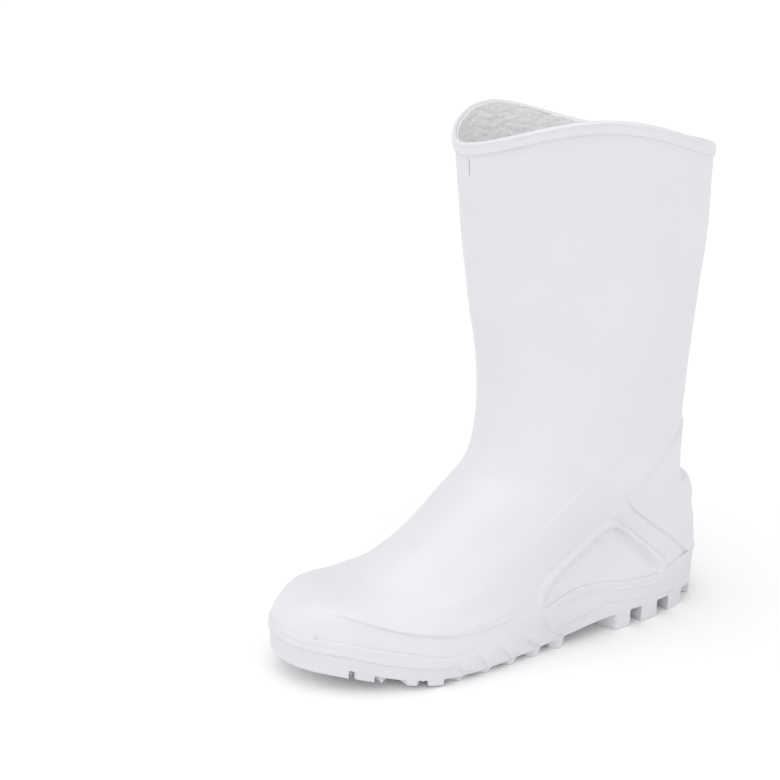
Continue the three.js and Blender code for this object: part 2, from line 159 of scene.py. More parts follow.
def makeGirthLines():
    rows = []
    rise, tall, depth = boot["instepHeight"], boot["shaftHeight"], boot["collarDepth"]
    for frontAt, frontUp, backAt, backUp, half, blunt, plan, follow in footLines:
        ends = (yAt(frontAt), yAt(backAt), frontUp * rise, backUp * rise)
        rows.append((*ends, half * boot["ballWidth"], blunt, plan, follow, 0))
    axis = boot["soleLength"] / 2 - boot["shaftAxisAt"]
    for frontUp, backUp, front, back, half, blunt, wave in shaftLines:
        ends = (axis - front * depth, axis + back * depth, rise + frontUp * tall, rise + backUp * tall)
        rows.append((*ends, half * boot["collarWidth"], blunt, 0, 0, wave * boot["collarWave"]))
    return [(level, *row) for level, row in enumerate(rows)]


girthLines = makeGirthLines()
collarLevel = len(girthLines) - 1


# Points of the upper's outer face. The turn is 0 at the heel and runs by the outer side to the toe.
def facePoint(level, turn):
    level, turn = np.broadcast_arrays(np.asarray(level, float), np.asarray(turn, float))
    line = readTable(girthLines, level)
    frontY, backY, frontRise, backRise, half, blunt, plan, follow, wave = np.moveaxis(line[..., 1:], -1, 0)
    power = 2 / blunt
    along = (1 - np.sign(np.cos(turn)) * np.abs(np.cos(turn)) ** power) / 2
    side = np.sin(turn)
    shape = readTable(footprint, along)
    share = 1 + (np.where(side > 0, shape[..., 1], shape[..., 2]) - 1) * plan
    x = np.sign(side) * np.abs(side) ** power * share * half
    x = x - boot["toeSwing"] * boot["ballWidth"] * plan * along**3
    y = backY + (frontY - backY) * along
    seat = boot["heelSeat"] + (soleTop(atY(y)) - boot["heelSeat"]) * follow
    lift = boot["collarLift"] / boot["collarWave"] * np.maximum(np.cos(turn - boot["liftTurn"]), 0) ** 4
    waved = wave * (np.sin(np.pi * along ** boot["waveSkew"]) + lift)
    z = seat + backRise + (frontRise - backRise) * along + waved
    return np.stack([x, y, z], -1)


# The outward direction of that face, kept level at its two edges.
def faceNormal(level, turn):
    level, turn = np.broadcast_arrays(np.asarray(level, float), np.asarray(turn, float))
    d, e = 0.02, 0.004
    up = facePoint(np.minimum(level + d, collarLevel), turn) - facePoint(np.maximum(level - d, 0), turn)
    on = facePoint(level, turn + e) - facePoint(level, turn - e)
    normal = np.cross(up, on)
    atEdge = (level < 0.01) | (level > collarLevel - 0.01)
    normal[..., 2] = np.where(atEdge, 0, normal[..., 2])
    return normal / np.linalg.norm(normal, axis=-1, keepdims=True)


# Turns that space the points of one ring evenly, with a point at the heel and one at the toe.
def evenTurns(level, count):
    u = np.linspace(0, 1, 500)
    quarter = (u * u * (3 - 2 * u)) * math.pi / 2
    dense = np.concatenate([quarter + k * math.pi / 2 for k in range(4)])
    turns = []
    for first in (0, math.pi):
        part = dense[(dense >= first - 1e-9) & (dense <= first + math.pi + 1e-9)]
        points = facePoint(level, part)
        length = np.concatenate([[0], np.cumsum(np.linalg.norm(np.diff(points, axis=0), axis=1))])
        turns.append(np.interp(np.linspace(0, length[-1], count // 2 + 1)[:-1], length, part))
    return np.concatenate(turns)


# The level, at each turn, that lies so far below the collar's edge
def dropLevel(turns, drop):
    step = 0.1
    climb = (facePoint(collarLevel, turns) - facePoint(collarLevel - step, turns))[..., 2] / step
    return collarLevel - drop / climb


# A stack of rings joined by four-sided faces
def ringFaces(rows, columns):
    row, column = np.meshgrid(np.arange(rows - 1), np.arange(columns), indexing="ij")
    a = row * columns + column
    b = row * columns + (column + 1) % columns
    return np.stack([a, b, b + columns, a + columns], -1).reshape(-1, 4)


# Closes the ring that starts at this point with strips from side to side
def stripCap(first, columns, upward):
    faces = []
    for i in range(columns // 2):
        a, b = first + i, first + i + 1
        c, d = first + (columns - i) % columns, first + columns - i - 1
        face = [a, b, d] if i == 0 else ([a, b, c] if i == columns // 2 - 1 else [a, b, d, c])
        faces.append(face if upward else face[::-1])
    return faces


def makeMesh(name, points, faces, smooth=True, sharpAngle=None):
    mesh = bpy.data.meshes.new(name)
    points = np.array(points, float)
    points[:, 1] += boot["shiftY"]
    mesh.from_pydata((points * 0.001).tolist(), [], [list(map(int, face)) for face in faces])
    mesh.validate()
    obj = bpy.data.objects.new(name, mesh)
    bpy.context.scene.collection.objects.link(obj)
    mesh.polygons.foreach_set("use_smooth", [smooth] * len(mesh.polygons))
    if smooth and sharpAngle:
        mesh.set_sharp_from_angle(angle=math.radians(sharpAngle))
    mesh.update()
    return obj


# Signed distance, in mm, to a closed outline in the side view: negative inside.
def outlineDistance(points, outline):
    y, z = points[..., 1], points[..., 2]
    best = np.full(y.shape, 1e9)
    inside = np.zeros(y.shape, bool)
    for (y0, z0), (y1, z1) in zip(outline, np.roll(outline, -1, axis=0)):
        dy, dz = y1 - y0, z1 - z0
        t = np.clip(((y - y0) * dy + (z - z0) * dz) / (dy * dy + dz * dz), 0, 1)
        best = np.minimum(best, np.hypot(y - y0 - t * dy, z - z0 - t * dz))
        if z0 != z1:
            inside ^= ((z0 > z) != (z1 > z)) & (y < y0 + (z - z0) / (z1 - z0) * dy)
    return np.where(inside, -best, best)


# Distance to an open line in the side view, and the share of the line where it is nearest.
def lineDistance(points, line):
    y, z = points[..., 1], points[..., 2]
    steps = np.linalg.norm(np.diff(line, axis=0), axis=1)
    starts = np.concatenate([[0], np.cumsum(steps)])
    best, share, side = np.full(y.shape, 1e9), np.zeros(y.shape), np.zeros(y.shape)
    for i, ((y0, z0), (y1, z1)) in enumerate(zip(line[:-1], line[1:])):
        dy, dz = y1 - y0, z1 - z0
        t = np.clip(((y - y0) * dy + (z - z0) * dz) / (dy * dy + dz * dz), 0, 1)
        far = np.hypot(y - y0 - t * dy, z - z0 - t * dz)
        near = far < best
        best = np.where(near, far, best)
        share = np.where(near, (starts[i] + t * steps[i]) / starts[-1], share)
        side = np.where(near, np.sign(dy * (z - z0) - dz * (y - y0)), side)
    return best, share, side


# Rounds a line of points in the side view by cutting its corners.
def softLine(points, rounds=2, closed=False):
    points = np.asarray(points, float)
    for _ in range(rounds):
        ahead = np.roll(points, -1, axis=0)
        pairs = np.stack([0.75 * points + 0.25 * ahead, 0.25 * points + 0.75 * ahead], 1)
        if closed:
            points = pairs.reshape(-1, 2)
        else:
            points = np.concatenate([points[:1], pairs[:-1].reshape(-1, 2), points[-1:]])
    return points


def sideView(rows):
    return [(float(yAt(at)), boot["heelSeat"] + up * boot["instepHeight"]) for at, up in rows]


# Gentle unevenness: a sum of waves in fixed, seeded directions, about -1 to 1.
def waves(points, length, count, seed):
    rng = np.random.default_rng(seed)
    total = np.zeros(points.shape[:-1])
    for _ in range(count):
        direction = rng.normal(size=3)
        direction /= np.linalg.norm(direction)
        size = length * rng.uniform(0.7, 1.4)
        total += np.sin(points @ direction * (2 * math.pi / size) + rng.uniform(0, 2 * math.pi))
    return total / math.sqrt(count)


# The upper
upperLook = {
    "columns": 500,
    "rowsFoot": 104,
    "rowsAnkle": 32,
    "rowsShaft": 24,
    "bandHeight": 7.0,
    "bandRise": 1.3,
    "rimDrop": 1.9,
    "counterRise": 1.4,
    "counterEdge": 1.0,
    "chevronRise": 2.3,
    "chevronEdge": 0.65,
    "chevronSink": 0.5,
    "grooveSink": 1.4,
    "grooveWidth": 4.0,
    "lipRise": 1.15,
    "beadRise": 0.35,
    "lipEdge": 0.55,
    "creaseRise": 0.5,
    "creaseWidth": 2.2,
    "hemRise": 0.35,
    "spurWidth": 36.0,
    "spurHeight": 19.0,
    "spurReach": 5.5,
    "spurRoot": 10.0,
    "spurUp": 40.0,
    "unevenness": 0.16,
}
# The collar band's section from below: mm below the collar's edge past its height, and share of its rise
bandSteps = [(0.75, 0.0), (0.3, 0.08), (0.05, 0.4), (-0.15, 0.75), (-0.5, 0.95), (-1.1, 1.0), (-3.2, 1.0),
             (-5.0, 1.0)]
# at, up: the raised counter's outline
counterOutline = [
    (-0.1, 1.5), (0.08, 1.2), (0.132, 1.121), (0.164, 1.064), (0.231, 0.912), (0.25, 0.855),
    (0.272, 0.787), (0.285, 0.739), (0.284, 0.697), (0.271, 0.64), (0.256, 0.59), (0.207, 0.457),
    (0.181, 0.378), (0.147, 0.286), (0.107, 0.174), (0.071, 0.062), (0.04, -0.04), (-0.1, -0.05),
]
# at, up: the chevron's crisp outer edge, from its foot by the rand over its tip to its end by the heel
chevronEdge = [
    (0.507, -0.09), (0.505, 0.0), (0.503, 0.062), (0.501, 0.115), (0.486, 0.173), (0.464, 0.231),
    (0.439, 0.289), (0.413, 0.347), (0.39, 0.403), (0.368, 0.47), (0.353, 0.519), (0.339, 0.556),
    (0.327, 0.573), (0.314, 0.567), (0.301, 0.55), (0.28, 0.492), (0.255, 0.418), (0.224, 0.314),
    (0.193, 0.222), (0.16, 0.114), (0.135, 0.033), (0.128, -0.04),
]
# at, up: the edge of its floor
chevronFloor = [
    (0.47, 0.0), (0.447, 0.14), (0.422, 0.208), (0.398, 0.259), (0.372, 0.316), (0.348, 0.384),
    (0.337, 0.416), (0.323, 0.441), (0.307, 0.455), (0.282, 0.4), (0.257, 0.32), (0.222, 0.2),
    (0.196, 0.11), (0.174, 0.028), (0.165, -0.03),
]
# at, dark, light, tall: the rand's lip, with the heights of its undercut and of its ridge
lipLines = [
    (0.5, -0.01, 0.09, 0.0), (0.538, -0.024, 0.068, 0.3), (0.561, -0.032, 0.055, 0.6),
    (0.592, -0.042, 0.038, 0.85), (0.629, -0.053, 0.021, 1.0), (0.663, -0.054, 0.005, 1.0),
    (0.687, -0.044, -0.012, 1.0), (0.709, -0.033, -0.012, 1.0), (0.741, -0.014, 0.004, 1.0),
    (0.771, 0.009, 0.024, 1.0), (0.808, 0.042, 0.057, 1.0), (0.842, 0.082, 0.097, 1.0),
    (0.875, 0.125, 0.14, 0.9), (0.906, 0.158, 0.173, 0.6), (0.929, 0.177, 0.192, 0.3),
    (0.96, 0.19, 0.205, 0.0),
]
# at, up: the soft crease over the ankle
creaseLine = [
    (0.522, 0.44), (0.504, 0.511), (0.484, 0.602), (0.438, 0.743), (0.389, 0.91), (0.344, 1.047),
    (0.309, 1.143), (0.303, 1.213), (0.3, 1.32), (0.3, 1.42),
]


# A side-view line closed by a straight line well below the foot
def closedBelow(line):
    foot = float(line[:, 1].min()) - 20
    return np.concatenate([line, [[line[-1][0], foot], [line[0][0], foot]]])


def reliefOut(points):
    look = upperLook
    at, z = atY(points[..., 1]), points[..., 2]
    up = (z - boot["heelSeat"]) / boot["instepHeight"]
    counter = outlineDistance(points, softLine(sideView(counterOutline), 1, True))
    edge = look["counterEdge"]
    out = look["counterRise"] * smoothStep(edge / 2, -edge / 2, counter)

    # The chevron steps up at its edge, stays level for a third of its slope and then falls to its floor.
    outline = softLine(sideView(chevronEdge), 1)
    inner = softLine(sideView(chevronFloor), 1)
    inside = -outlineDistance(points, closedBelow(outline))
    inFloor = -outlineDistance(points, closedBelow(inner))
    far, share, _ = lineDistance(points, outline)
    farIn, _, _ = lineDistance(points, inner)
    depth = np.where(inside > 0, far, -far)
    down = np.where(inFloor > 0, 1.0, far / np.maximum(far + farIn, 1e-6))
    ends = smoothStep(0.0, 0.07, share) * smoothStep(1.0, 0.94, share)
    edge = look["chevronEdge"]
    rim = smoothStep(-edge, edge, depth) * (1 - smoothStep(0.36, 1.0, down))
    sunk = np.where(inside > 0, smoothStep(0.3, 1.0, down), 0.0) * smoothStep(-1.0, 8.0, z - soleTop(at))
    rearLeg = smoothStep(0.33, 0.28, at)
    groove = look["grooveSink"] * (0.65 + 0.35 * rearLeg)
    groove = groove * np.exp(-np.where(inFloor > 0, farIn, 0) / look["grooveWidth"])
    out = out + ends * look["chevronRise"] * rim - (look["chevronSink"] + groove) * sunk

    _, dark, light, tall = np.moveaxis(readTable(lipLines, at), -1, 0)
    above = (up - dark) * boot["instepHeight"]
    overRidge = (up - light) * boot["instepHeight"]
    edge = look["lipEdge"]
    lip = smoothStep(-edge, edge, above) * (0.62 + 0.38 * smoothStep(-5, 0, overRidge))
    lip = lip * smoothStep(9, 0, overRidge)
    lip = lip - 0.25 * smoothStep(-6, -edge, above) * smoothStep(edge, -edge, above)
    bead = look["beadRise"] * np.exp(-((overRidge / 1.0) ** 2))
    out = out + np.clip(tall, 0, 1) * (look["lipRise"] * lip + bead)

    far, share, _ = lineDistance(points, softLine(sideView(creaseLine), 2))
    fade = smoothStep(0, 0.2, share) * smoothStep(1, 0.7, share)
    out = out + look["creaseRise"] * np.exp(-((far / look["creaseWidth"]) ** 2)) * fade
    hem = smoothStep(2.3, 1.8, z - seamHeight(at)) * smoothStep(0.14, 0.18, at) * smoothStep(0.4, 0.34, at)
    return out + look["hemRise"] * hem


# How much thicker the wall is round the foot
def footWall(level):
    return 0.8 * smoothStep(9.0, 8.0, level) * smoothStep(0.0, 1.5, level)


# The kick-off spur at the heel's back, a low dome that swells out of the wall
def withSpur(points):
    look = upperLook
    depth = look["spurRoot"] + look["spurReach"]
    share = math.sqrt(1 - (look["spurRoot"] / depth) ** 2)
    backY = float(yAt(footLines[-1][2]))
    x = points[..., 0] / (look["spurWidth"] / 2 / share)
    z = (points[..., 2] - boot["heelSeat"] - look["spurUp"]) / (look["spurHeight"] / 2 / share)
    inside = np.clip(1 - x * x - z * z, 0, 1)
    dome = backY - look["spurRoot"] + depth * np.sqrt(inside)
    soft = 1.2
    blend = soft * np.logaddexp(0, (dome - points[..., 1]) / soft)
    moved = points.copy()
    moved[..., 1] += np.where((inside > 0) & (points[..., 1] > 60), blend * smoothStep(0, 0.2, inside), 0)
    return moved


def buildUpper():
    look = upperLook
    columns = look["columns"]
    innerOut = -(boot["wall"] - boot["liningThickness"])
    rows = []

    def addRing(level, turns, out, lift=0.0, outer=True):
        points, normal = facePoint(level, turns), faceNormal(level, turns)
        mean = float(np.mean(level))
        if outer:
            relief = reliefOut(points) if mean < 10.6 else 0.0
            uneven = waves(points, 55, 12, 4) + 0.4 * waves(points, 22, 10, 9)
            steady = smoothStep(0, 0.6, mean) * smoothStep(collarLevel, 12.2, mean)
            out = out + relief + look["unevenness"] * uneven * steady
            points = points + normal * np.asarray(out)[..., None]
            if 2 < mean < 9:
                points = withSpur(points)
        else:
            points = points + normal * np.asarray(out)
        points[:, 2] += lift
        rows.append(points)

    for out in (-1.2, 0.0):
        addRing(0, evenTurns(0, columns), out, -0.6)
        seam = seamHeight(atY(rows[-1][:, 1])) - 0.6
        rows[-1][:, 2] = np.minimum(rows[-1][:, 2], seam)
    for level in np.concatenate([np.linspace(0.0, 8, look["rowsFoot"], endpoint=False),
                                 np.linspace(8, 10, look["rowsAnkle"], endpoint=False)]):
        addRing(level, evenTurns(level, columns), 0.0)
    top = evenTurns(collarLevel, columns)
    bandFoot = dropLevel(top, look["bandHeight"] + bandSteps[0][0])
    for share in np.linspace(0, 1, look["rowsShaft"], endpoint=False):
        mean = 10 + (collarLevel - 10) * share
        turns = evenTurns(mean, columns)
        foot = dropLevel(turns, look["bandHeight"] + bandSteps[0][0])
        addRing(10 + (foot - 10) * share, turns, 0.0)
    addRing(bandFoot, top, 0.0)
    for past, out in bandSteps[1:]:
        addRing(dropLevel(top, look["bandHeight"] + past), top, out * look["bandRise"])
    middle, radius = (look["bandRise"] + innerOut) / 2, (look["bandRise"] - innerOut) / 2
    for k in range(11):
        angle = math.pi * k / 10
        lift = look["rimDrop"] * (math.sin(angle) - 1)
        addRing(collarLevel, top, middle + radius * math.cos(angle), lift, False)
    for level in (12.9, 12.7, 12, 11, 10, 9, 8, 7, 6, 5, 4, 3, 2, 1, 0):
        addRing(level, evenTurns(level, columns), innerOut - footWall(level), 0.0, False)
    faces = ringFaces(len(rows), columns)
    last = (len(rows) - 1) * columns
    bottom = [(c, last + c, last + (c + 1) % columns, (c + 1) % columns) for c in range(columns)]
    return makeMesh("upper_shell", np.concatenate(rows), [*faces, *bottom], sharpAngle=60)


# The textile lining, a thin rippled shell on the inside of the wall
liningLook = {"columns": 320, "ripple": 0.26, "rippleLength": 3.4, "topDrop": 2.4, "backOut": -1.3}


def buildLining():
    look = liningLook
    columns = look["columns"]
    wall = boot["wall"]
    rings = [(level, evenTurns(level, columns)) for level in np.concatenate([
        np.linspace(0.4, 8, 34, endpoint=False), np.linspace(8, 11, 26, endpoint=False)])]
    for share in np.linspace(0, 1, 96):
        turns = evenTurns(11 + 2 * share, columns)
        rings.append((11 + (dropLevel(turns, look["topDrop"]) - 11) * share, turns))
    rows = []
    for level, turns in rings:
        points = facePoint(level, turns)
        normal = faceNormal(level, turns)
        stretched = points * np.array([0.4, 0.4, 1])
        ripple = waves(stretched, look["rippleLength"], 26, 21)
        ripple = np.tanh(1.6 * ripple) * look["ripple"] * smoothStep(3, 9, np.mean(level))
        rows.append(points + normal * (ripple - wall - footWall(level))[..., None])
    for out, lift in ((-wall, 0.45), (-wall + 0.2, 0.9), (-wall + 0.55, 1.3), (-wall + 0.85, 1.25),
                      (look["backOut"], 0.6)):
        points = facePoint(level, turns) + faceNormal(level, turns) * out
        points[:, 2] += lift
        rows.append(points)
    for level in (12, 11, 10, 9, 8, 7, 6, 5, 4, 3, 2, 1, 0.4):
        turns = evenTurns(level, columns)
        back = look["backOut"] - footWall(level)
        rows.append(facePoint(level, turns) + faceNormal(level, turns) * back)
    faces = ringFaces(len(rows), columns)[:, ::-1]
    last = (len(rows) - 1) * columns
    bottom = [(c, (c + 1) % columns, last + (c + 1) % columns, last + c) for c in range(columns)]
    return makeMesh("lining", np.concatenate(rows), [*faces, *bottom], sharpAngle=80)


# Rings along the upper's lower edge, evenly spaced, moved outwards
def soleRing(out, columns):
    turns = evenTurns(0, columns)
    return facePoint(0, turns)[:, :2] + faceNormal(0, turns)[:, :2] * out


# The inner sole
insoleLook = {"inset": 2.7, "columns": 240}
# Its section from the bottom's edge to the top's middle: mm inside its outline, and mm over the sole's top
insoleSteps = [(0.3, -0.4), (0.2, 0.4), (0.6, 3.0), (1.4, 3.8), (2.4, 4.15), (6.0, 4.3), (14.0, 4.35),
               (22.0, 4.3)]


def buildInsole():
    look = insoleLook
    columns = look["columns"]
    rows = []
    for inset, up in insoleSteps:
        ring = soleRing(-look["inset"] - inset, columns)
        z = soleTop(atY(ring[:, 1])) + up
        rows.append(np.column_stack([ring, z]))
    points = np.concatenate(rows)
    faces = [*ringFaces(len(rows), columns), *stripCap((len(rows) - 1) * columns, columns, True),
             *stripCap(0, columns, False)]
    return makeMesh("insole_pad", points, faces, sharpAngle=60)


# The outsole's body: a stack of rings over its side's profile, with the side's plates and bars raised
soleLook = {
    "columns": 1000,
    "rows": 46,
    "lugWall": 0.5,
    "stepFrom": 0.712,
    "stepShare": 0.48,
    "stepRise": 0.48,
    "grooveShare": 0.74,
    "grooveDepth": 0.2,
    "plateRise": 1.3,
    "plateEdge": 0.32,
    "barBelow": 4.7,
    "barRise": 0.5,
    "barHalf": 0.65,
    "dashDepth": 0.5,
    "dashHalf": 0.6,
    "tickDepth": 0.4,
    "lugRoot": 2.0,
    "lugFillet": 1.4,
}
# share of the side's height, out in mm: the side without its step
sideProfile = [(0.0, 0.5), (0.3, 0.8), (0.5, 1.05), (0.75, 1.2), (0.9, 1.15), (0.96, 0.95), (1.0, 0.4)]
# Over the side's top edge, into the upper's face: mm out, shares of the lip and of the flush part, mm down
seamSteps = [(0.28, 0.9, 1, -0.12), (0.1, 0.6, 0.6, -0.2), (-0.2, 0.0, 0, -0.1), (-0.4, 0.0, 0, 0.9)]
# Plates that overlap like shingles, as at and height: the front edge from its top, then the bottom edge
plates = [
    [(0.700, 15.4), (0.685, 7.3), (0.644, 5.0)],
    [(0.643, 14.1), (0.627, 4.8), (0.589, 5.8)],
    [(0.587, 13.9), (0.567, 5.2), (0.531, 6.9)],
    [(0.524, 14.8), (0.510, 8.3), (0.477, 10.7)],
    [(0.478, 20.6), (0.459, 13.2), (0.421, 14.9), (0.382, 16.7), (0.350, 18.1), (0.318, 19.2)],
]
plateHeight = 10.0
# The dashed line under the heel's seam, the bars over it and the marks between, by at and height
dashes = [((0.305, 19.3), (0.253, 18.0)), ((0.239, 17.3), (0.181, 14.0)), ((0.172, 13.9), (0.106, 12.4))]
bars = [(0.299, 0.44), (0.23, 0.288), (0.156, 0.218)]
ticks = [0.293, 0.224]


def sideRelief(at, z):
    look = soleLook
    share = (z - soleBase(at)) / (seamHeight(at) - soleBase(at))
    points = np.stack([np.zeros_like(z), yAt(at), z], -1)
    ahead = smoothStep(look["stepFrom"] - 0.004, look["stepFrom"] + 0.004, at)
    height = seamHeight(at) - soleBase(at)
    overStep = (share - look["stepShare"]) * height
    out = ahead * look["stepRise"] * smoothStep(-0.2, 0.5, overStep)
    out = out * smoothStep(0.95, look["stepShare"], share)
    out = out - ahead * 0.35 * np.exp(-((overStep / 0.55) ** 2))
    out = out - ahead * look["grooveDepth"] * np.exp(-(((share - look["grooveShare"]) * height / 0.8) ** 2))
    for plate in plates:
        line = np.array([(float(yAt(a)), h) for a, h in plate])
        front, rear = line[0], line[-1]
        top = front[1] - line[1][1]
        above = [[rear[0], rear[1] + top + plateHeight], [front[0], front[1] + plateHeight]]
        outline = np.concatenate([line, above])
        inside = outlineDistance(points, outline)
        along = np.clip((rear[0] - points[..., 1]) / (rear[0] - line[1][0]), 0, 1)
        low = np.interp(-points[..., 1], -line[1:, 0], line[1:, 1])
        least = 0.3 if len(plate) > 3 else 0.0  # the long plate still stands out at its rear
        fade = least + (1 - least) * smoothStep(0.0, 1.0, along)
        fadeUp = smoothStep(top + 3, 3.0, z - low)
        edge = look["plateEdge"]
        out = out + look["plateRise"] * smoothStep(edge, -edge, inside) * fade * fadeUp
    for (fromAt, fromZ), (toAt, toZ) in dashes:
        far, _, _ = lineDistance(points, np.array([(float(yAt(fromAt)), fromZ), (float(yAt(toAt)), toZ)]))
        out = out - look["dashDepth"] * np.exp(-((far / look["dashHalf"]) ** 2))
    below = seamHeight(at) - z
    for low, high in bars:
        along = smoothStep(low - 0.002, low + 0.002, at) * smoothStep(high + 0.012, high - 0.004, at)
        out = out + look["barRise"] * along * np.exp(-(((below - look["barBelow"]) / look["barHalf"]) ** 4))
    for place in ticks:
        along = np.exp(-(((at - place) * boot["soleLength"] / 0.7) ** 2))
        out = out - look["tickDepth"] * along * smoothStep(1.0, 2.0, below) * smoothStep(8.0, 6.0, below)
    return out


def buildSoleBody():
    look = soleLook
    turns = evenTurns(0, look["columns"])
    base = facePoint(0, turns)[:, :2]
    normal = faceNormal(0, turns)[:, :2]
    at = atY(base[:, 1])
    low, high = soleBase(at), seamHeight(at)
    first, second = facePoint(0, turns), facePoint(1, turns)
    reach = np.clip((high - first[:, 2]) / (second[:, 2] - first[:, 2]), 0, 1)
    lean = facePoint(reach, turns)[:, :2] - base  # where the upper's face stands at the seam
    flush = 0.3 * smoothStep(0.46, 0.52, at) * smoothStep(0.76, 0.71, at)
    lipOut = 1.25 * smoothStep(0.1, 0.07, at) + 0.3 * smoothStep(0.1, 0.16, at) * smoothStep(0.5, 0.42, at)
    shares, outs = np.array(sideProfile).T
    rows = []
    for share in np.linspace(0, 1, look["rows"]) ** 0.92:
        out = np.interp(share, shares, outs)
        z = low + (high - low) * share
        edges = smoothStep(0.0, 0.04, share) * smoothStep(1.0, 0.985, share)
        out = out + lipOut * smoothStep(0.8, 1.0, share) + sideRelief(at, z) * edges
        out = out - flush * smoothStep(0.6, 1.0, share)
        place = base + lean * smoothStep(0.6, 1.0, share) + normal * np.asarray(out)[..., None]
        rows.append(np.column_stack([place, z]))
    for out, lip, seam, down in seamSteps:
        place = base + lean + normal * (out + lip * lipOut - seam * flush)[..., None]
        rows.append(np.column_stack([place, high - down]))
    faces = [*ringFaces(len(rows), len(turns)), *stripCap((len(rows) - 1) * len(turns), len(turns), True),
             *stripCap(0, len(turns), False)]
    return makeMesh("sole_body", np.concatenate(rows), faces, sharpAngle=60)


# The points of one side of a ring between two places along the boot
def sideOfRing(ring, side, fromAt, toAt):
    half = len(ring) // 2
    part = ring[: half + 1] if side > 0 else np.concatenate([ring[half:], ring[:1]])[::-1]
    at = atY(part[:, 1])
    keep = (at > fromAt) & (at < toAt)
    ends = [np.array([np.interp(a, at, part[:, 0]), yAt(a)]) for a in (fromAt, toAt) if at[0] < a < at[-1]]
    points = [*part[keep]]
    if len(ends) == 2 or fromAt > at[0]:
        points.insert(0, ends[0])
    if toAt < at[-1]:
        points.append(ends[-1])
    thinned = [points[0]]
    for p in points[1:-1]:  # points 3 mm apart leave room to round the corners
        if np.linalg.norm(p - thinned[-1]) > 3 and np.linalg.norm(p - points[-1]) > 3:
            thinned.append(p)
    return [*thinned, points[-1]]


# What is left of an outline inside a convex one, both counterclockwise
def clipped(outline, clip):
    for a, b in zip(clip, np.roll(clip, -1, axis=0)):
        edge = b - a
        kept = []
        for p, q in zip(outline, [*outline[1:], outline[0]]):
            sideP = edge[0] * (p[1] - a[1]) - edge[1] * (p[0] - a[0])
            sideQ = edge[0] * (q[1] - a[1]) - edge[1] * (q[0] - a[0])
            if sideP >= 0:
                kept.append(p)
            if (sideP >= 0) != (sideQ >= 0):
                kept.append(p + (q - p) * sideP / (sideP - sideQ))
        outline = kept
        if len(outline) < 3:
            return []
    return outline


def areaOf(outline):
    x, y = np.array(outline).T
    return 0.5 * float(np.sum(x * np.roll(y, -1) - np.roll(x, -1) * y))


# The outline with its corners rounded, counterclockwise and free of doubles
def rounded(outline, radius):
    points = [np.array(p, float) for p in outline]
    if areaOf(points) < 0:
        points = points[::-1]
    points = [p for p, q in zip(points, [*points[1:], points[0]]) if np.linalg.norm(p - q) > 1]
    made = []
    for before, p, after in zip([points[-1], *points[:-1]], points, [*points[1:], points[0]]):
        a, b = before - p, after - p
        la, lb = np.linalg.norm(a), np.linalg.norm(b)
        bend = math.acos(max(-1, min(1, float(a @ b) / (la * lb))))
        if bend > math.radians(160):
            made.append(p)
            continue
        r = min(radius, 0.4 * la, 0.4 * lb)
        for t in (0, 0.35, 0.65, 1):
            made.append(p + (1 - t) ** 2 * a / la * r + t**2 * b / lb * r)
    return np.array(made)


# The outline moved in by so many mm
def inward(outline, by):
    ahead = np.roll(outline, -1, axis=0) - outline
    behind = outline - np.roll(outline, 1, axis=0)
    ahead /= np.linalg.norm(ahead, axis=1, keepdims=True)
    behind /= np.linalg.norm(behind, axis=1, keepdims=True)
    normal = np.stack([-(ahead + behind)[:, 1], (ahead + behind)[:, 0]], -1)
    length = np.linalg.norm(normal, axis=1, keepdims=True)
    return outline + normal / length * by * np.minimum(2 / length, 1.6)


# A lug: its outline from the ground up into the body, with rounded edges and a little draft
def lugParts(outline, rim, corner=1.0, first=0):
    look = soleLook
    outline = rounded(outline, corner)
    count = len(outline)
    at = atY(outline[:, 1])
    ground, base = soleGround(at), soleBase(at)
    reach = base - ground
    rows = []
    fillet = np.minimum(look["lugFillet"], reach * 0.35)
    for inset, z in ((0.85, ground), (0.4, ground + 0.2), (0.12, ground + 0.6),
                     (0, np.minimum(ground + 1.2, base - fillet)), (0, base - fillet),
                     (-0.13, base - fillet * 0.5), (-0.5, base - fillet * 0.14),
                     (-0.9, base + 0.05), (-0.9, base + look["lugRoot"])):
        place = inward(outline, inset)
        if inset < 0:  # the fillet stays inside the rim
            near = np.argmin(np.linalg.norm(place[:, None] - rim[None, :, :2], axis=-1), axis=1)
            past = np.sum((place - rim[near, :2]) * rim[near, 2:], axis=-1, keepdims=True)
            place = place - rim[near, 2:] * np.maximum(past + 0.02, 0)
        rows.append(np.column_stack([place, z]))
    faces = [[first + k for k in range(count)][::-1]]
    faces += [list(np.array(f) + first) for f in ringFaces(len(rows), count)]
    faces.append([first + (len(rows) - 1) * count + k for k in range(count)])
    return np.concatenate(rows), faces


toeTread = {"count": 5, "innerFirst": 0.925, "innerLast": 0.77, "outerFirst": 0.884, "outerLast": 0.712,
            "groove": 3.0, "padWidth": 18.0, "slant": 0.6, "thinnest": 1.3}
# Places along the rim, places at the inner end, and how far in it reaches as a share
heelTread = [
    (-0.05, 0.026, -0.05, 0.05, 0.3), (0.072, 0.123, 0.085, 0.132, 0.62),
    (0.16, 0.209, 0.175, 0.222, 0.62), (0.241, 0.282, 0.258, 0.325, 0.62),
]
rimTread = {"count": 6, "firstAt": 0.762, "pitch": 0.0625, "length": 0.051, "depth": 13.5}


